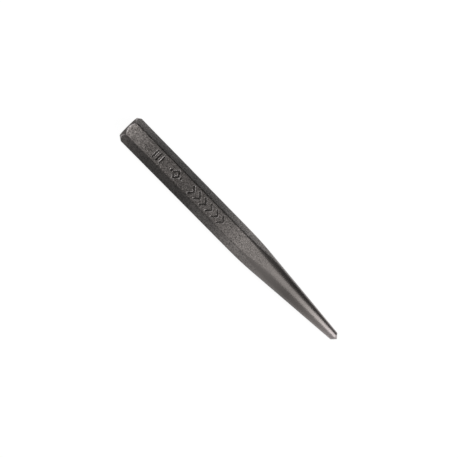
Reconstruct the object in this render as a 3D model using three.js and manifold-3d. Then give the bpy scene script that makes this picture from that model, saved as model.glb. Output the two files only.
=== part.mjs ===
// Center punch: one piece of hexagonal tool steel with a chamfered striking end, a ground taper and a
// 90 degree point.
// Millimetres. The finished punch lies along X on one flat, point towards +X, with its marked flat facing +Z.
// Inside this file the tool stands along +Y, with the striking face at y = 0 and the marked flat facing +Z.

import * as THREE from "three";
import { mergeVertices, toCreasedNormals } from "three/addons/utils/BufferGeometryUtils.js";
import Module from "manifold-3d";

const wasm = await Module();
wasm.setup();

// The bar.
const LENGTH = 145; // striking face to the end of the point
const ACROSS_FLATS = 12.7; // half inch hexagon
const CORNER_ROUNDING = 0.7; // radius that rolling leaves on the bar's six corners

// The striking end.
const FACE_DIAMETER = 11.6;
const CHAMFER_ANGLE = THREE.MathUtils.degToRad(35); // from the axis

// The working end.
const TAPER_HALF_ANGLE = THREE.MathUtils.degToRad(4.6);
const BLEND_RADIUS = 260; // the long soft curve by which the taper leaves the bar's corners
const POINT_DIAMETER = 4.76; // where the taper ends and the point begins
const POINT_HALF_ANGLE = THREE.MathUtils.degToRad(45);
const TIP_RADIUS = 0.35;

// The stamped marks: plain bars, two dots with a diamond between them, and arrowheads, struck into one flat.
// Their places are distances from the striking face, along the middle of the flat.
const MARK_DEPTH = 0.28;
const STROKE = 0.6; // width of a struck line
const BAR_PLACES = [17.9, 20, 22.1];
const BAR_HALF_LENGTH = 1.7;
const DOT_PLACES = [28.4, 34.4];
const DOT_RADIUS = 0.5;
const DIAMOND_PLACE = 31.4;
const DIAMOND_HALF_LENGTH = 1.7;
const FIRST_ARROW = 41.3; // its tail
const ARROW_PITCH = 3.9;
const ARROW_COUNT = 6;
const ARROW_LENGTH = 2;
const MARK_HALF_WIDTH = 2.1; // of the diamond and the arrowheads, across the flat

// How finely curves are drawn.
const TURNED_SEGMENTS = 84;
const BLEND_STEPS = 8;
const TIP_STEPS = 5;
const CURVE_SEGMENTS = 3; // an arc in an outline is cut into twice this many

// Sizes that follow from those.
const APOTHEM = ACROSS_FLATS / 2;
const FLAT_HALF_TURN = Math.PI / 6; // from the middle of a flat to a corner
const CORNER_CENTRE = (APOTHEM - CORNER_ROUNDING) / Math.cos(FLAT_HALF_TURN);
const CORNER_REACH = CORNER_CENTRE + CORNER_ROUNDING; // from the axis to the outside of a rounded corner
const CLEARANCE = 0.05; // keeps the turned outline just off the corners along the bar
const TURNED_RADIUS = CORNER_REACH + CLEARANCE;

/** A closed mesh as a manifold-3d solid. */
function solid(geometry) {
  const bare = geometry.clone();
  bare.deleteAttribute("normal");
  bare.deleteAttribute("uv");
  const merged = mergeVertices(bare);
  const corners = Array.from(merged.index.array);
  const triVerts = [];
  for (let i = 0; i < corners.length; i += 3) {
    const [a, b, c] = corners.slice(i, i + 3);
    if (a !== b && b !== c && c !== a) triVerts.push(a, b, c);
  }
  const vertProperties = merged.attributes.position.array;
  return new wasm.Manifold(
    new wasm.Mesh({ numProp: 3, vertProperties, triVerts: new Uint32Array(triVerts) }),
  );
}

/** A manifold-3d solid as a geometry, smooth over curves and sharp at edges. */
function geometryOf(shape) {
  const { vertProperties, triVerts } = shape.getMesh();
  const geometry = new THREE.BufferGeometry();
  geometry.setAttribute("position", new THREE.BufferAttribute(vertProperties, 3));
  geometry.setIndex(new THREE.BufferAttribute(triVerts, 1));
  return toCreasedNormals(geometry, THREE.MathUtils.degToRad(12));
}

/** The hexagonal bar, with rounded corners, along +Y. */
function hexagonBar() {
  const outline = new THREE.Shape();
  for (let k = 0; k < 6; k++) {
    const corner = (k * Math.PI) / 3;
    outline.absarc(
      CORNER_CENTRE * Math.cos(corner),
      CORNER_CENTRE * Math.sin(corner),
      CORNER_ROUNDING,
      corner - FLAT_HALF_TURN,
      corner + FLAT_HALF_TURN,
      false,
    );
  }
  outline.closePath();
  const settings = { depth: LENGTH, bevelEnabled: false, curveSegments: CURVE_SEGMENTS };
  return solid(new THREE.ExtrudeGeometry(outline, settings).rotateX(-Math.PI / 2));
}

/** The outline of the turned and ground surfaces, as (radius, distance from the striking face). */
function turnedProfile() {
  const faceRadius = FACE_DIAMETER / 2;
  const pointRadius = POINT_DIAMETER / 2;
  const chamferEnd = (TURNED_RADIUS - faceRadius) / Math.tan(CHAMFER_ANGLE);

  // The tip is a small ball, tangent to the point's cone.
  const tipCentre = LENGTH - TIP_RADIUS;
  const sharpTip = tipCentre + TIP_RADIUS / Math.sin(POINT_HALF_ANGLE);
  const pointStart = sharpTip - pointRadius / Math.tan(POINT_HALF_ANGLE);

  // The taper's straight side, run back to the turned radius, and the arc that rounds the angle there.
  const taperStart = pointStart - (TURNED_RADIUS - pointRadius) / Math.tan(TAPER_HALF_ANGLE);
  const blendStart = taperStart - BLEND_RADIUS * Math.tan(TAPER_HALF_ANGLE / 2);

  const profile = [
    new THREE.Vector2(0, 0),
    new THREE.Vector2(faceRadius, 0),
    new THREE.Vector2(TURNED_RADIUS, chamferEnd),
  ];
  for (let i = 0; i <= BLEND_STEPS; i++) {
    const turn = (TAPER_HALF_ANGLE * i) / BLEND_STEPS;
    profile.push(
      new THREE.Vector2(
        TURNED_RADIUS - BLEND_RADIUS * (1 - Math.cos(turn)),
        blendStart + BLEND_RADIUS * Math.sin(turn),
      ),
    );
  }
  profile.push(new THREE.Vector2(pointRadius, pointStart));
  for (let i = 0; i < TIP_STEPS; i++) {
    const turn = POINT_HALF_ANGLE + ((Math.PI / 2 - POINT_HALF_ANGLE) * i) / TIP_STEPS;
    profile.push(
      new THREE.Vector2(TIP_RADIUS * Math.cos(turn), tipCentre + TIP_RADIUS * Math.sin(turn)),
    );
  }
  profile.push(new THREE.Vector2(0, LENGTH));
  return profile;
}

/** A cutter for one shape on the marked flat, as deep as the marks. */
function cutter(shape) {
  const depth = 2 * MARK_DEPTH;
  const settings = { depth, bevelEnabled: false, curveSegments: CURVE_SEGMENTS };
  const geometry = new THREE.ExtrudeGeometry(shape, settings);
  return solid(geometry.translate(0, 0, APOTHEM - MARK_DEPTH));
}

/** A struck line with round ends, from one point of the flat to another. */
function stroke(fromX, fromY, toX, toY) {
  const along = Math.atan2(toY - fromY, toX - fromX);
  const shape = new THREE.Shape();
  shape.absarc(toX, toY, STROKE / 2, along - Math.PI / 2, along + Math.PI / 2, false);
  shape.absarc(fromX, fromY, STROKE / 2, along + Math.PI / 2, along + (3 * Math.PI) / 2, false);
  shape.closePath();
  return cutter(shape);
}

/** A struck round dot. */
function dot(y) {
  const shape = new THREE.Shape();
  shape.absarc(0, y, DOT_RADIUS, 0, 2 * Math.PI, false);
  return cutter(shape);
}

/** Every stamped mark. */
function marks() {
  const made = [];
  for (const y of BAR_PLACES) {
    made.push(stroke(-BAR_HALF_LENGTH, y, BAR_HALF_LENGTH, y));
  }
  for (const y of DOT_PLACES) {
    made.push(dot(y));
  }
  for (const side of [-MARK_HALF_WIDTH, MARK_HALF_WIDTH]) {
    made.push(stroke(side, DIAMOND_PLACE, 0, DIAMOND_PLACE - DIAMOND_HALF_LENGTH));
    made.push(stroke(side, DIAMOND_PLACE, 0, DIAMOND_PLACE + DIAMOND_HALF_LENGTH));
    for (let k = 0; k < ARROW_COUNT; k++) {
      const tail = FIRST_ARROW + k * ARROW_PITCH;
      made.push(stroke(side, tail, 0, tail + ARROW_LENGTH));
    }
  }
  return made;
}

/** The whole punch: the bar inside its turned outline, less the stamped marks. */
function punch() {
  const turned = solid(new THREE.LatheGeometry(turnedProfile(), TURNED_SEGMENTS));
  let body = hexagonBar().intersect(turned);
  for (const mark of marks()) {
    body = body.subtract(mark);
  }
  return body;
}

const blackenedSteel = new THREE.MeshStandardMaterial({
  color: 0x55524f,
  roughness: 0.5,
  metalness: 0.85,
});

const centerPunch = new THREE.Mesh(geometryOf(punch()), blackenedSteel);
centerPunch.name = "center_punch";

// Laid along X on the flat opposite the marks, with the origin under the middle of its length.
centerPunch.rotation.z = -Math.PI / 2;
centerPunch.position.set(-LENGTH / 2, 0, APOTHEM);

const root = new THREE.Group();
root.add(centerPunch);

export default root;
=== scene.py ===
import math

import bpy
import numpy as np
from mathutils import Matrix, Vector, noise


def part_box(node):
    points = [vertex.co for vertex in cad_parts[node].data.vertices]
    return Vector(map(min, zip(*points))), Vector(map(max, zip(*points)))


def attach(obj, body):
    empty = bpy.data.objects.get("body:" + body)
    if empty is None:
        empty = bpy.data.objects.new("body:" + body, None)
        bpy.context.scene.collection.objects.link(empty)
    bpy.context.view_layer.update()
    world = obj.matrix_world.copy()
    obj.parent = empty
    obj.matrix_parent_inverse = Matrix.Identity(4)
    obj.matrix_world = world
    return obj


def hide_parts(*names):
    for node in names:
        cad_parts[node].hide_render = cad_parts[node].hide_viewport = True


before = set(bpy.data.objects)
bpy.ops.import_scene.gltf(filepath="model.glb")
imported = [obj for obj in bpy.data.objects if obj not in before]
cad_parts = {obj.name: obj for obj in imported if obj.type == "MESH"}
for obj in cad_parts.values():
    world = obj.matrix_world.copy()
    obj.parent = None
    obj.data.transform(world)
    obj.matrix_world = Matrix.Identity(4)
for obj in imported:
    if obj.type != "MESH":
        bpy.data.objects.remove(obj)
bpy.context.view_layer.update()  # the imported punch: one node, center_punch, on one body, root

MM = 0.001
LOW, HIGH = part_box("center_punch")

# ---------------------------------------------------------------- the tool's own measures, in metres
# Places along the tool are distances from the striking face, and the frame gives where that face is.
FACE_X = LOW.x
LENGTH = HIGH.x - LOW.x
APOTHEM = (HIGH.z - LOW.z) / 2  # from the axis to the middle of a flat
AXIS_Z = (HIGH.z + LOW.z) / 2
CORNER_ROUNDING = 0.7 * MM
CORNER_CENTRE = (APOTHEM - CORNER_ROUNDING) / math.cos(math.pi / 6)
CORNER_REACH = CORNER_CENTRE + CORNER_ROUNDING  # from the axis to the outside of a rounded corner
CLEARANCE = 0.05 * MM  # keeps the turned outline just off the corners along the bar
TURNED_RADIUS = CORNER_REACH + CLEARANCE

# The striking end.
FACE_RADIUS = 5.8 * MM
FACE_OFFSET = 0.17 * MM  # the chamfer was ground this far off centre, towards +Y
FACE_EDGE = 0.3 * MM  # rounding between the striking face and its chamfer
FACE_DENT = 0.05 * MM  # the depth of the dents that hammering leaves in the striking face
CHAMFER_ANGLE = math.radians(35)
CHAMFER_REACH = TURNED_RADIUS + 0.4 * MM  # its cone runs on past the bar's corners, to clear them all
CHAMFER_LENGTH = (CHAMFER_REACH - FACE_RADIUS) / math.tan(CHAMFER_ANGLE)
CHAMFER_END = CHAMFER_LENGTH + 1 * MM  # where the outline is back at the turned radius

# The working end.
TAPER_HALF_ANGLE = math.radians(4.6)
TAPER_BLEND = 260 * MM
POINT_RADIUS = 2.38 * MM
POINT_HALF_ANGLE = math.radians(45)
POINT_EDGE = 0.3 * MM  # rounding between the taper and the point
TIP_RADIUS = 0.35 * MM

# How far the edges between the flats and the turned surfaces are rounded over.
HEAD_SOFTNESS = 0.32 * MM
TAPER_SOFTNESS = 0.40 * MM
HEAD_STRETCH = LENGTH / 4  # up to here the first of them holds, and from here on the second
CORNER_CRISPNESS = 0.4  # the share of it that is missing at the bar's corners

# The stamped marks, all on the top flat.
MARK_DEPTH = 0.28 * MM
STROKE_HALF_WIDTH = 0.40 * MM
MARK_FLOOR = 0.35  # the flat bottom of a struck line, as a share of its width
LIP_HEIGHT = 0.075 * MM  # metal pushed up beside a struck line
LIP_WIDTH = 0.42 * MM
LIP_RISE = 0.25  # the share of that width over which it rises
BAR_PLACES = [17.9 * MM, 20.0 * MM, 22.1 * MM]
BAR_HALF_LENGTH = 1.7 * MM
DOT_PLACES = [28.4 * MM, 34.4 * MM]
DOT_SIZE = 1.5  # a dot's half width, in those of a stroke
DIAMOND_PLACE = 31.4 * MM
DIAMOND_HALF_LENGTH = 1.7 * MM
FIRST_ARROW = 41.3 * MM  # its tail
ARROW_PITCH = 3.9 * MM
ARROW_COUNT = 6
ARROW_LENGTH = 2.0 * MM
MARK_HALF_WIDTH = 2.1 * MM  # of the diamond and the arrowheads, across the flat

# Marks are never struck evenly: noise makes some deeper than others.
STRIKE_SIZE = 3 * MM
STRIKE_VARIATION = 0.5
DEPTH_LIMITS = (0.7, 1.1)  # how shallow and how deep it may leave a mark
LIP_LIMITS = (0.4, 1.5)  # and how low and how high a lip

# Wear down to bright steel, with painted highlights on the striking end's edges and painted glints on the
# marks' lips.
WEAR_AND_HIGHLIGHT_WIDTH = 0.16 * MM  # of the bright line on the striking end's edges: wear and a painted highlight
WEAR_AND_HIGHLIGHT_FADE = 0.3 * MM  # that line fades out over this length before the chamfer's end
CORNER_WEAR_AND_HIGHLIGHT = 0.15  # how strong it still is at the bar's corners
RUB_AND_GLINT_SIZE = 1.6 * MM
RUB_AND_GLINT_MIDDLE, RUB_AND_GLINT_SPREAD, RUB_AND_GLINT_MOST = 0.3, 1.4, 0.9  # how far the lips of the marks are brightened: rubbing, and painted glints
DENT_SIZE = 1.8 * MM
DENT_SHARE = 0.15  # higher makes more of the striking face dented
DENT_WEAR = 0.5

# The skin of the steel: the sizes of its bumps, and their heights.
SEED_STEPS = (7.3, 3.1, 1.7)  # how far each seed shifts the noise, in features
ROLLED_FADE = 0.15 * MM  # over this gap the rolled skin gives way to turned and ground metal
SKIN_SIZES = (1.5 * MM, 0.8 * MM)
SKIN_HEIGHT = 0.010 * MM
PIT_SIZE = 0.9 * MM
PIT_DEPTH = 0.05 * MM
PIT_THRESHOLD = 0.25  # higher makes fewer pits
SWAY_SIZE = 9 * MM
SWAY_HEIGHT = 0.004 * MM
WAVE_SIZE = 2.5 * MM
WAVE_STRETCH = (0.35, 1, 1)  # grinding waves are drawn out along the taper
WAVE_HEIGHT = 0.006 * MM

# How finely the mesh is cut.
FLAT_COLUMNS = 18
CORNER_COLUMNS = 6
SIXTH = FLAT_COLUMNS + CORNER_COLUMNS
COLUMNS = 6 * SIXTH
MARK_CUTS = 5  # cells under the marks are cut into this many each way
MARKED_COLUMNS = range(2, FLAT_COLUMNS - 2)
MARKED_STRETCHES = [(16.6 * MM, 23.4 * MM), (27.0 * MM, 35.8 * MM), (40.2 * MM, 63.8 * MM)]
SPACINGS = [  # (up to this place along the tool, distance between stations)
    (0.0 * MM, 0.5 * MM),
    (4.0 * MM, 0.12 * MM),
    (16.6 * MM, 0.42 * MM),
    (63.8 * MM, 0.36 * MM),
    (98.0 * MM, 0.45 * MM),
    (138.0 * MM, 0.7 * MM),
    (LENGTH, 0.12 * MM),
]
EDGE_STEPS = 12  # points along a rounded edge of the outline
BLEND_STEPS = 40
BALL_STEPS = 8


# ---------------------------------------------------------------- shape
def fillet(before, corner, after, radius, steps=EDGE_STEPS):
    """The points of an arc that rounds a corner of an outline."""
    before, corner, after = np.array(before), np.array(corner), np.array(after)
    into = (corner - before) / np.linalg.norm(corner - before)
    out = (after - corner) / np.linalg.norm(after - corner)
    turn = math.acos(np.clip(into @ out, -1, 1))
    start = corner - into * radius * math.tan(turn / 2)
    side = out - into * (into @ out)
    side /= np.linalg.norm(side)
    angles = np.linspace(0, turn, steps)[:, None]
    return start + radius * (into * np.sin(angles) + side * (1 - np.cos(angles)))


def outline():
    """The turned outline from the middle of the striking face to the tip, as (place, radius) points."""
    tip_centre = LENGTH - TIP_RADIUS
    sharp_tip = tip_centre + TIP_RADIUS / math.sin(POINT_HALF_ANGLE)
    point_start = sharp_tip - POINT_RADIUS / math.tan(POINT_HALF_ANGLE)
    taper_start = point_start - (TURNED_RADIUS - POINT_RADIUS) / math.tan(TAPER_HALF_ANGLE)
    centre, face, chamfer = (0, 0), (0, FACE_RADIUS), (CHAMFER_LENGTH, CHAMFER_REACH)
    bar = (CHAMFER_END, TURNED_RADIUS)
    taper, point, tip = (taper_start, TURNED_RADIUS), (point_start, POINT_RADIUS), (sharp_tip, 0)
    ball = np.linspace(POINT_HALF_ANGLE, math.pi / 2, BALL_STEPS)[:, None]
    ball_points = np.hstack([tip_centre + TIP_RADIUS * np.sin(ball), TIP_RADIUS * np.cos(ball)])
    return np.vstack([
        [centre],
        fillet(centre, face, chamfer, FACE_EDGE),
        [chamfer, bar],
        fillet(bar, taper, point, TAPER_BLEND, BLEND_STEPS),
        fillet(taper, point, tip, POINT_EDGE),
        ball_points,
    ])


def stations(points):
    """The distance along the outline of each of its points, and of each ring of the mesh's vertices."""
    run = np.concatenate([[0], np.cumsum(np.linalg.norm(np.diff(points, axis=0), axis=1))])
    made, start = [], 0.0
    for place, spacing in SPACINGS:
        end = np.interp(place, points[:, 0], run) if place else FACE_RADIUS
        count = max(1, round((end - start) / spacing))
        made.extend(np.linspace(start, end, count, endpoint=False))
        start = end
    made.append(run[-1])
    return run, np.array(made)


def hexagon(column):
    """The rounded hexagon: each column's point (y, z) about the axis."""
    sixth, u = np.divmod(column, SIXTH)
    flat_angle = sixth * math.pi / 3
    inner = APOTHEM - CORNER_ROUNDING
    across = inner * math.tan(math.pi / 6) * (2 * np.minimum(u / FLAT_COLUMNS, 1) - 1)
    normal = flat_angle + np.clip((u - FLAT_COLUMNS) / CORNER_COLUMNS, 0, 1) * math.pi / 3
    y = inner * np.sin(flat_angle) + across * np.cos(flat_angle) + CORNER_ROUNDING * np.sin(normal)
    z = inner * np.cos(flat_angle) - across * np.sin(flat_angle) + CORNER_ROUNDING * np.cos(normal)
    return y, z


def soft_min(a, b, softness):
    """The smaller of two lengths, with the edge where they meet rounded off."""
    share = np.clip(0.5 + (b - a) / (2 * softness), 0, 1)
    return b * (1 - share) + a * share - softness * share * (1 - share)


def smooth(x):
    """0 below 0, 1 above 1, and an S-shaped curve between."""
    x = np.clip(x, 0, 1)
    return x * x * (3 - 2 * x)


def bell(x):
    """1 at 0, falling away to 0 on both sides."""
    return np.exp(-(x**2))


def rough(points, size, seed):
    """Smooth noise from -1 to 1, with features of that size."""
    shift = Vector([seed * step for step in SEED_STEPS])
    return np.array([noise.noise(Vector(p) / size + shift) for p in points])


def strokes():
    """The struck lines, as (place, y, place, y, width factor)."""
    made = [(p, -BAR_HALF_LENGTH, p, BAR_HALF_LENGTH, 1) for p in BAR_PLACES]
    made += [(p, 0, p, 0, DOT_SIZE) for p in DOT_PLACES]
    for side in (-MARK_HALF_WIDTH, MARK_HALF_WIDTH):
        for end in (-DIAMOND_HALF_LENGTH, DIAMOND_HALF_LENGTH):
            made.append((DIAMOND_PLACE, side, DIAMOND_PLACE + end, 0, 1))
        for k in range(ARROW_COUNT):
            tail = FIRST_ARROW + k * ARROW_PITCH
            made.append((tail, side, tail + ARROW_LENGTH, 0, 1))
    return made


def struck(place, y):
    """How far each point of the top flat is pushed down (0 to 1), and how much lip stands there (0 to 1)."""
    sunk = np.zeros_like(place)
    lip = np.zeros_like(place)
    for x0, y0, x1, y1, width in strokes():
        along = np.array([x1 - x0, y1 - y0])
        span = max(along @ along, 1e-12)  # a dot has no length
        share = np.clip(((place - x0) * along[0] + (y - y0) * along[1]) / span, 0, 1)
        gap = np.hypot(place - x0 - share * along[0], y - y0 - share * along[1])
        half = STROKE_HALF_WIDTH * width
        sunk = np.maximum(sunk, smooth((1 - gap / half) / (1 - MARK_FLOOR)))
        beyond = (gap - half) / LIP_WIDTH
        lip = np.maximum(lip, smooth(beyond / LIP_RISE) * smooth(1 - beyond))
    return sunk, lip * (1 - smooth(sunk / LIP_RISE))


def relief(points, rolled):
    """How far scale, pits and grinding lift each point outwards."""
    coarse, fine = SKIN_SIZES
    skin = SKIN_HEIGHT * (rough(points, coarse, 1) + rough(points, fine, 2))
    pits = PIT_DEPTH * np.clip(rough(points, PIT_SIZE, 3) - PIT_THRESHOLD, 0, 1)
    sway = SWAY_HEIGHT * rough(points, SWAY_SIZE, 4)
    waves = WAVE_HEIGHT * rough(points * WAVE_STRETCH, WAVE_SIZE, 5)
    return (skin - pits + sway) * rolled + waves * (1 - rolled)


def edge_wear_and_highlight(place, radius, gap, cornerness):
    """The bright lines on the striking end's edges (0 to 1): wear, and a painted highlight along them."""
    chamfer = bell(gap / WEAR_AND_HIGHLIGHT_WIDTH) * smooth((CHAMFER_LENGTH - place) / WEAR_AND_HIGHLIGHT_FADE)
    chamfer *= np.clip(2 * (1 - cornerness), CORNER_WEAR_AND_HIGHLIGHT, 1)  # the wear and the painted highlight are stronger on the flats' arcs than at the corners
    face = bell((radius - FACE_RADIUS) / WEAR_AND_HIGHLIGHT_WIDTH) * (place < FACE_EDGE)
    return np.maximum(chamfer, face)


def surface(run, column, outline_points, outline_run):
    """The finished surface at each (run along the outline, column): its points and its masks."""
    place = np.interp(run, outline_run, outline_points[:, 0])
    turned = np.interp(run, outline_run, outline_points[:, 1])
    y, z = hexagon(column)
    reach = np.hypot(y, z)
    off_centre = 1 - smooth((place - CHAMFER_LENGTH) / (CHAMFER_END - CHAMFER_LENGTH))
    turned = turned * (1 + FACE_OFFSET / FACE_RADIUS * y / reach * off_centre)
    cornerness = (reach - APOTHEM) / (CORNER_REACH - APOTHEM)  # 0 in the middle of a flat, 1 at a corner
    softness = np.where(place < HEAD_STRETCH, HEAD_SOFTNESS, TAPER_SOFTNESS)
    radius = soft_min(turned, reach, softness * (1 - CORNER_CRISPNESS * cornerness))
    points = np.stack([place, radius * y / reach, radius * z / reach], axis=1)

    gap = turned - reach
    rolled = smooth(gap / ROLLED_FADE + 0.5)  # 1 on the bar's own flats, 0 where it was turned or ground
    top = (column < FLAT_COLUMNS) & (rolled > 0.5)
    sunk, lip = struck(place, points[:, 1])
    strike = 1 + STRIKE_VARIATION * rough(points, STRIKE_SIZE, 6)
    sunk, lip = sunk * top, lip * top * np.clip(strike, *LIP_LIMITS)
    # The marks' lips brightened in patches: rubbing, and painted glints.
    rubbed_and_glints = lip * np.clip(RUB_AND_GLINT_MIDDLE + RUB_AND_GLINT_SPREAD * rough(points, RUB_AND_GLINT_SIZE, 7), 0, RUB_AND_GLINT_MOST)
    hit = (place < FACE_DENT) * np.clip(2 - 2 * radius / FACE_RADIUS, 0, 1)  # fading out to the face's edge
    dents = np.clip(rough(points, DENT_SIZE, 8) + DENT_SHARE, 0, 1) * hit
    # One mask for wear and painted highlights: the edges' painted highlight, the lips' painted glints and
    # the dents' wear.
    wear_and_highlight = np.max([edge_wear_and_highlight(place, radius, gap, cornerness), rubbed_and_glints, DENT_WEAR * dents], axis=0)

    outward = np.stack([np.zeros_like(y), y / reach, z / reach], axis=1)
    near_axis = np.clip(radius / MM, 0, 1)  # nothing is lifted in the middle of the face or at the tip
    points += outward * (relief(points, rolled) * near_axis)[:, None]
    points[:, 0] += dents * FACE_DENT
    points[:, 2] += lip * LIP_HEIGHT - sunk * MARK_DEPTH * np.clip(strike, *DEPTH_LIMITS)
    points += np.array([FACE_X, 0, AXIS_Z])
    return points, {"ground": 1 - rolled, "sunk": sunk, "wear_and_highlight": wear_and_highlight}


def cells(station_count, marked):
    """The mesh's faces, each a ring of (row, column) nodes on the fine grid."""
    cuts = MARK_CUTS

    def fine(i, j):
        return i in marked and j % COLUMNS in MARKED_COLUMNS

    for i in range(station_count - 1):
        for j in range(COLUMNS):
            row, column = i * cuts, j * cuts
            if fine(i, j):
                for a in range(row, row + cuts):
                    for b in range(column, column + cuts):
                        yield [(a, b), (a + 1, b), (a + 1, b + 1), (a, b + 1)]
                continue
            ring = []
            sides = (  # the way along each side, and the cell beyond it
                ((1, 0), (i, j - 1)),
                ((0, 1), (i + 1, j)),
                ((-1, 0), (i, j + 1)),
                ((0, -1), (i - 1, j)),
            )
            for (down, across), neighbour in sides:
                step = 1 if fine(*neighbour) else cuts
                for _ in range(0, cuts, step):
                    ring.append((row, column))
                    row += down * step
                    column += across * step
            yield ring


def numbered(rings, last_row):
    """The rings' nodes, each once, and the faces as their numbers. The first and last rows are points."""
    around = COLUMNS * MARK_CUTS
    numbers, nodes, faces = {}, [], []
    for ring in rings:
        face = []
        for row, column in ring:
            node = (row, 0) if row in (0, last_row) else (row, column % around)
            if node not in numbers:
                numbers[node] = len(nodes)
                nodes.append(node)
            if numbers[node] not in face:
                face.append(numbers[node])
        faces.append(face)
    return nodes, faces


def in_scene(name, data):
    """A new object in the scene."""
    made = bpy.data.objects.new(name, data)
    bpy.context.scene.collection.objects.link(made)
    return made


def build_punch():
    """The whole punch as one mesh."""
    points = outline()
    outline_run, rings = stations(points)
    places = np.interp(rings, outline_run, points[:, 0])
    marked = {i for i, p in enumerate(places) if any(low < p < high for low, high in MARKED_STRETCHES)}
    nodes, faces = numbered(cells(len(rings), marked), (len(rings) - 1) * MARK_CUTS)

    nodes = np.array(nodes, float) / MARK_CUTS
    run = np.interp(nodes[:, 0], np.arange(len(rings)), rings)
    vertices, masks = surface(run, nodes[:, 1], points, outline_run)
    mesh = bpy.data.meshes.new("punch")
    mesh.from_pydata(vertices.tolist(), [], faces)
    for name, values in masks.items():
        attribute = mesh.attributes.new(name, "FLOAT", "POINT")
        attribute.data.foreach_set("value", values.astype(np.float32))
    mesh.shade_smooth()
    return in_scene("punch", mesh)


# ---------------------------------------------------------------- material
class Nodes:
    """A short way to write a node tree."""

    def __init__(self, tree, coordinates):
        self.tree = tree
        self.place = self.new("ShaderNodeTexCoord").outputs[coordinates]

    def new(self, kind, **settings):
        node = self.tree.nodes.new(kind)
        for key, value in settings.items():
            setattr(node, key, value)
        return node

    def put(self, socket, value):
        if isinstance(value, bpy.types.NodeSocket):
            self.tree.links.new(value, socket)
        else:
            socket.default_value = value

    def split(self):
        """The place's x, y and z."""
        parts = self.new("ShaderNodeSeparateXYZ")
        self.put(parts.inputs[0], self.place)
        return parts.outputs["X"], parts.outputs["Y"], parts.outputs["Z"]

    def mask(self, name):
        return self.new("ShaderNodeAttribute", attribute_name=name).outputs["Fac"]

    def noise(self, size, detail=2.0, roughness=0.5, stretch=(1, 1, 1)):
        scaled = self.new("ShaderNodeVectorMath", operation="MULTIPLY")
        self.put(scaled.inputs[0], self.place)
        scaled.inputs[1].default_value = stretch
        node = self.new("ShaderNodeTexNoise")
        self.put(node.inputs["Vector"], scaled.outputs[0])
        node.inputs["Scale"].default_value = 1 / size
        node.inputs["Detail"].default_value = detail
        node.inputs["Roughness"].default_value = roughness
        return node.outputs["Fac"]

    def math(self, operation, a, b=0.0):
        node = self.new("ShaderNodeMath", operation=operation)
        self.put(node.inputs[0], a)
        self.put(node.inputs[1], b)
        return node.outputs[0]

    def remap(self, value, low, high, to_low=0.0, to_high=1.0):
        node = self.new("ShaderNodeMapRange")
        self.put(node.inputs["Value"], value)
        self.put(node.inputs["From Min"], low)
        self.put(node.inputs["From Max"], high)
        self.put(node.inputs["To Min"], to_low)
        self.put(node.inputs["To Max"], to_high)
        return node.outputs["Result"]

    # A Mix node has a set of sockets for each type, all with the same names, so they go by number here.
    def mix(self, factor, a, b):
        node = self.new("ShaderNodeMix", data_type="FLOAT")
        self.put(node.inputs[0], factor)
        self.put(node.inputs[2], a)
        self.put(node.inputs[3], b)
        return node.outputs[0]

    def mix_colour(self, factor, a, b):
        node = self.new("ShaderNodeMix", data_type="RGBA")
        self.put(node.inputs[0], factor)
        self.put(node.inputs[6], a)
        self.put(node.inputs[7], b)
        return node.outputs[2]

    def ramp(self, value, colours):
        """A colour that follows a value from 0 to 1, through (position, red, green, blue) stops."""
        node = self.new("ShaderNodeValToRGB")
        self.put(node.inputs["Fac"], value)
        stops = node.color_ramp.elements
        for k, (position, *colour) in enumerate(colours):
            stop = stops[k] if k < 2 else stops.new(1.0)  # a new ramp already has two stops
            stop.position = position
            stop.color = (*colour, 1)
        return node.outputs["Color"]


# The steel's brightness along the tool: partly the finish that heat and grinding left, and partly painted
# light, the brightening and darkening along the tool that the lighting gives, tuned together with the lamps:
# (place, reflectance).
FINISH_AND_PAINTED_LIGHT = [
    (0 * MM, 0.16),
    (11 * MM, 0.097),
    (18 * MM, 0.078),
    (26 * MM, 0.082),
    (40 * MM, 0.075),
    (60 * MM, 0.115),
    (76 * MM, 0.213),
    (95 * MM, 0.218),
    (110 * MM, 0.168),
    (120 * MM, 0.205),
    (132 * MM, 0.30),
    (145 * MM, 0.43),
]
OXIDE_TINT = (1.0, 0.915, 0.87)
BARE_TINT = (1.0, 0.90, 0.89)
BARE_FROM = 0.85  # the share of the length after which the oxide's tint gives way to bare steel's
# Bright steel, the colour of wear and of the painted highlights and glints.
BRIGHT_WEAR_AND_HIGHLIGHT = (0.46, 0.43, 0.425, 1)

SPECKLE_SIZE = 0.75 * MM  # of the mottling of the rolled scale
BLOTCH_SIZE = 5 * MM  # of the larger patches mixed into it
BLOTCH_SHARE = 0.10
GRAIN_SIZE = 0.35 * MM  # of the fine unevenness of ground steel
NOISE_RANGE = (0.3, 0.7)  # nearly all of a noise lies between these
MOTTLE_RANGE = (0.32, 0.68)  # and nearly all of the mixed one
MOTTLE_STRENGTH = (0.35, 1.65)  # the brightness of its darkest and lightest spots
GRAIN_STRENGTH = (0.95, 1.05)
PLAIN_STRETCH = (74 * MM, 96 * MM)  # along here the mottling dies down
PLAIN_MOST = 0.7
MARK_PAINTED_SHADE = 0.5  # painted shade in the struck marks: the brightness of their bottoms, as a share of the flat's

ROLLED_ROUGHNESS = (0.48, 0.34)  # of the darkest and the lightest speckles
WORN_ROUGHNESS = 0.27
GROUND_STRETCH = (84 * MM, 106 * MM)  # along here the grinding gets finer
GROUND_ROUGHNESS = (0.40, 0.33)
GRAIN_ROUGHNESS = 0.03

BUMP_HEIGHT = 0.09 * MM
LINE_SIZE = 0.25 * MM  # of the grinding lines, across the taper
LINE_STRETCH = (0.06, 1, 1)  # and they run along it
LINE_SHARE = 0.07  # of the bump's height


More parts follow.
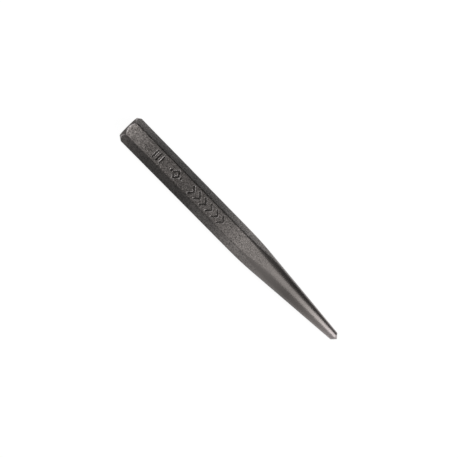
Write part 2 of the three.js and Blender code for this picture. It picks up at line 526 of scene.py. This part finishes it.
def finish_and_painted_light_stops():
    """The stops of the steel's colour from the striking face to the tip, its finish and painted light
    together.
    """
    for place, value in FINISH_AND_PAINTED_LIGHT:
        share = place / LENGTH
        bare = max(0.0, (share - BARE_FROM) / (1 - BARE_FROM))
        yield share, *(value * (a + (b - a) * bare) for a, b in zip(OXIDE_TINT, BARE_TINT))


def stretch(n, x, places, to_low, to_high):
    """A value that goes from one number to another along a stretch of the tool."""
    return n.remap(x, FACE_X + places[0], FACE_X + places[1], to_low, to_high)


def blackened_steel():
    """Black heat-treatment oxide on the bar, greyer towards the taper, ground steel down to a bare point;
    the brightness along the tool is partly this finish and partly painted light.
    """
    material = bpy.data.materials.new("blackened_steel")
    material.use_nodes = True
    shader = material.node_tree.nodes["Principled BSDF"]
    n = Nodes(material.node_tree, "Object")
    x, _, _ = n.split()
    ground, sunk, wear_and_highlight = n.mask("ground"), n.mask("sunk"), n.mask("wear_and_highlight")
    speckle = n.noise(SPECKLE_SIZE, detail=3.0, roughness=0.6)
    blotch = n.noise(BLOTCH_SIZE)
    grain = n.noise(GRAIN_SIZE)

    # the colour along the tool: the finish, with painted light in it
    colour = n.ramp(stretch(n, x, (0, LENGTH), 0.0, 1.0), finish_and_painted_light_stops())
    patchy = n.remap(n.mix(BLOTCH_SHARE, speckle, blotch), *MOTTLE_RANGE, *MOTTLE_STRENGTH)
    even = n.remap(grain, *NOISE_RANGE, *GRAIN_STRENGTH)
    plain = n.math("MAXIMUM", ground, stretch(n, x, PLAIN_STRETCH, 0.0, PLAIN_MOST))
    strength = n.mix(plain, patchy, even)
    # The struck marks are darkened: painted shade in their recesses.
    strength = n.math("MULTIPLY", strength, n.remap(sunk, 0, 1, 1.0, MARK_PAINTED_SHADE))
    varied = n.new("ShaderNodeVectorMath", operation="SCALE")
    n.put(varied.inputs[0], colour)
    n.put(varied.inputs["Scale"], strength)
    # Wear, painted highlights and painted glints are mixed towards bright steel.
    n.put(shader.inputs["Base Color"], n.mix_colour(wear_and_highlight, varied.outputs[0], BRIGHT_WEAR_AND_HIGHLIGHT))
    shader.inputs["Metallic"].default_value = 1.0

    speckle_roughness = n.remap(speckle, *NOISE_RANGE, *ROLLED_ROUGHNESS)
    rolled_roughness = n.mix(wear_and_highlight, speckle_roughness, WORN_ROUGHNESS)
    grain_roughness = n.remap(grain, *NOISE_RANGE, -GRAIN_ROUGHNESS, GRAIN_ROUGHNESS)
    ground_roughness = n.math("ADD", grain_roughness, stretch(n, x, GROUND_STRETCH, *GROUND_ROUGHNESS))
    n.put(shader.inputs["Roughness"], n.mix(ground, rolled_roughness, ground_roughness))

    bump = n.new("ShaderNodeBump")
    bump.inputs["Distance"].default_value = BUMP_HEIGHT
    bump.inputs["Strength"].default_value = 1.0
    lines = n.noise(LINE_SIZE, detail=1.0, stretch=LINE_STRETCH)
    n.put(bump.inputs["Height"], n.mix(ground, speckle, n.math("MULTIPLY", lines, LINE_SHARE)))
    n.put(shader.inputs["Normal"], bump.outputs["Normal"])
    return material


# ---------------------------------------------------------------- stage, lights and camera
FLOOR_REACH = 3.0
FLOOR_DROP = 0.2 * MM  # how far the floor lies under the punch
PAPER_DROP = 0.1 * MM
# The paper on the +Y side reaches furthest out beside the taper, and least beside the marks.
NEAR_PAPER = [
    (-0.25, 0),
    (0.25, 0),
    (0.25, 0.0215),
    (-0.003, 0.0215),
    (-0.018, 0.0187),
    (-0.055, 0.0187),
    (-0.075, 0.0203),
    (-0.25, 0.0203),
]


def sheet(name, corners, z, glow, white=0.8):
    """A flat white sheet lying level, with some light of its own."""
    mesh = bpy.data.meshes.new(name)
    mesh.from_pydata([(x, y, z) for x, y in corners], [], [range(len(corners))])
    piece = in_scene(name, mesh)
    material = bpy.data.materials.new(name)
    material.use_nodes = True
    shader = material.node_tree.nodes["Principled BSDF"]
    shader.inputs["Base Color"].default_value = (white, white, white, 1)
    shader.inputs["Roughness"].default_value = 0.9
    shader.inputs["Specular IOR Level"].default_value = 0.0
    shader.inputs["Emission Color"].default_value = (1, 1, 1, 1)
    shader.inputs["Emission Strength"].default_value = glow
    mesh.materials.append(material)
    return piece


def rectangle(x0, y0, x1, y1):
    """The corners of a rectangle."""
    return [(x0, y0), (x1, y0), (x1, y1), (x0, y1)]


def table():
    """A white floor with only a faint shadow, and the papers on it that the steel reflects."""
    reach = FLOOR_REACH
    floor = sheet("floor", rectangle(-reach, -reach, reach, reach), LOW.z - FLOOR_DROP, glow=0.87, white=0.2)
    floor.visible_glossy = False
    papers = (  # name, corners, glow
        ("near_paper", NEAR_PAPER, 0.48),
        ("far_paper", rectangle(-0.025, -0.30, 0.25, 0), 0.0),
        ("head_paper", rectangle(-0.12, -0.02, -0.073, 0), 0.1),
    )
    for name, corners, glow in papers:
        paper = sheet(name, corners, LOW.z - PAPER_DROP, glow)
        paper.visible_camera = False
        paper.visible_shadow = False
        paper.visible_diffuse = False


def softbox(name, place, size, radiance):
    """A rectangular soft light at a place, facing the origin, its width along the punch."""
    light = bpy.data.lights.new(name, "AREA")
    light.shape = "RECTANGLE"
    light.size, light.size_y = size
    light.energy = radiance * math.pi * size[0] * size[1]
    lamp = in_scene(name, light)
    back = Vector(place).normalized()
    width = Vector((0, 1, 0)).cross(back).normalized()
    axes = Matrix((width, back.cross(width), back)).transposed()
    lamp.matrix_world = Matrix.Translation(place) @ axes.to_4x4()
    lamp.visible_camera = False


LIGHTS = [  # name, place, size along and across the punch, radiance
    ("key_softbox", (0.57, 0.19, 0.70), (0.48, 0.87), 1.9),
    ("head_softbox", (-0.31, 0.016, 0.70), (0.42, 0.21), 5.6),
]
# The room as the steel sees it, going round the punch's length: grey walls, and a black card on the +Y
# side, from nearly overhead down past the table's edge. (degrees from straight up towards +Y, brightness)
ROOM = [(-180, 0.36), (-105, 0.42), (-80, 0.52), (14, 0.5), (32, 0.125), (150, 0.125), (180, 0.36)]
CARD_END = (-0.5, -0.2)  # the card fades out between these directions towards the head
HEAD_WALL = (0.5, 0.5, 0.5, 1)  # what is beyond it


def studio():
    """Plain soft studio light: a big softbox over the point's side and a small one over the head's."""
    for name, place, size, radiance in LIGHTS:
        softbox(name, place, size, radiance)
    world = bpy.data.worlds.new("studio")
    bpy.context.scene.world = world
    world.use_nodes = True
    n = Nodes(world.node_tree, "Generated")
    x, y, z = n.split()
    angle = n.remap(n.math("ARCTAN2", y, z), -math.pi, math.pi)
    walls = n.ramp(angle, [(degrees / 360 + 0.5, value, value, value) for degrees, value in ROOM])
    room = world.node_tree.nodes["Background"]
    n.put(room.inputs["Color"], n.mix_colour(n.remap(x, *CARD_END), HEAD_WALL, walls))
    backdrop = n.new("ShaderNodeBackground")
    backdrop.inputs["Color"].default_value = (1, 1, 1, 1)
    mix = n.new("ShaderNodeMixShader")  # the camera sees the backdrop, and everything else the room
    n.put(mix.inputs[0], n.new("ShaderNodeLightPath").outputs["Is Camera Ray"])
    n.put(mix.inputs[1], room.outputs[0])
    n.put(mix.inputs[2], backdrop.outputs[0])
    n.put(world.node_tree.nodes["World Output"].inputs["Surface"], mix.outputs[0])


CAMERA_DISTANCE = 337.6 * MM
CAMERA_LEAN = math.radians(7.56)  # towards the striking end
CAMERA_SIDE = math.radians(3.47)  # towards -Y
CAMERA_TURN = math.radians(45.48)  # the punch lies this far from the picture's horizontal
FOCAL_LENGTH = 55.09
AIM_FROM_MIDDLE = Vector((-4.55 * MM, 0.11 * MM, 0))


def camera():
    """The camera, at the photo's viewing angle."""
    data = bpy.data.cameras.new("camera")
    data.lens = FOCAL_LENGTH
    data.clip_start, data.clip_end = 0.01, 20
    eye = in_scene("camera", data)
    turn = (
        Matrix.Rotation(CAMERA_SIDE, 4, "X")
        @ Matrix.Rotation(-CAMERA_LEAN, 4, "Y")
        @ Matrix.Rotation(CAMERA_TURN, 4, "Z")
    )
    middle = Vector(((LOW.x + HIGH.x) / 2, 0, AXIS_Z))
    eye.matrix_world = (
        Matrix.Translation(middle + AIM_FROM_MIDDLE) @ turn @ Matrix.Translation((0, 0, CAMERA_DISTANCE))
    )
    bpy.context.scene.camera = eye


camera()
table()
studio()
bpy.context.scene.view_settings.view_transform = "Standard"

punch = build_punch()
punch.data.materials.append(blackened_steel())
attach(punch, "root")
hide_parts("center_punch")
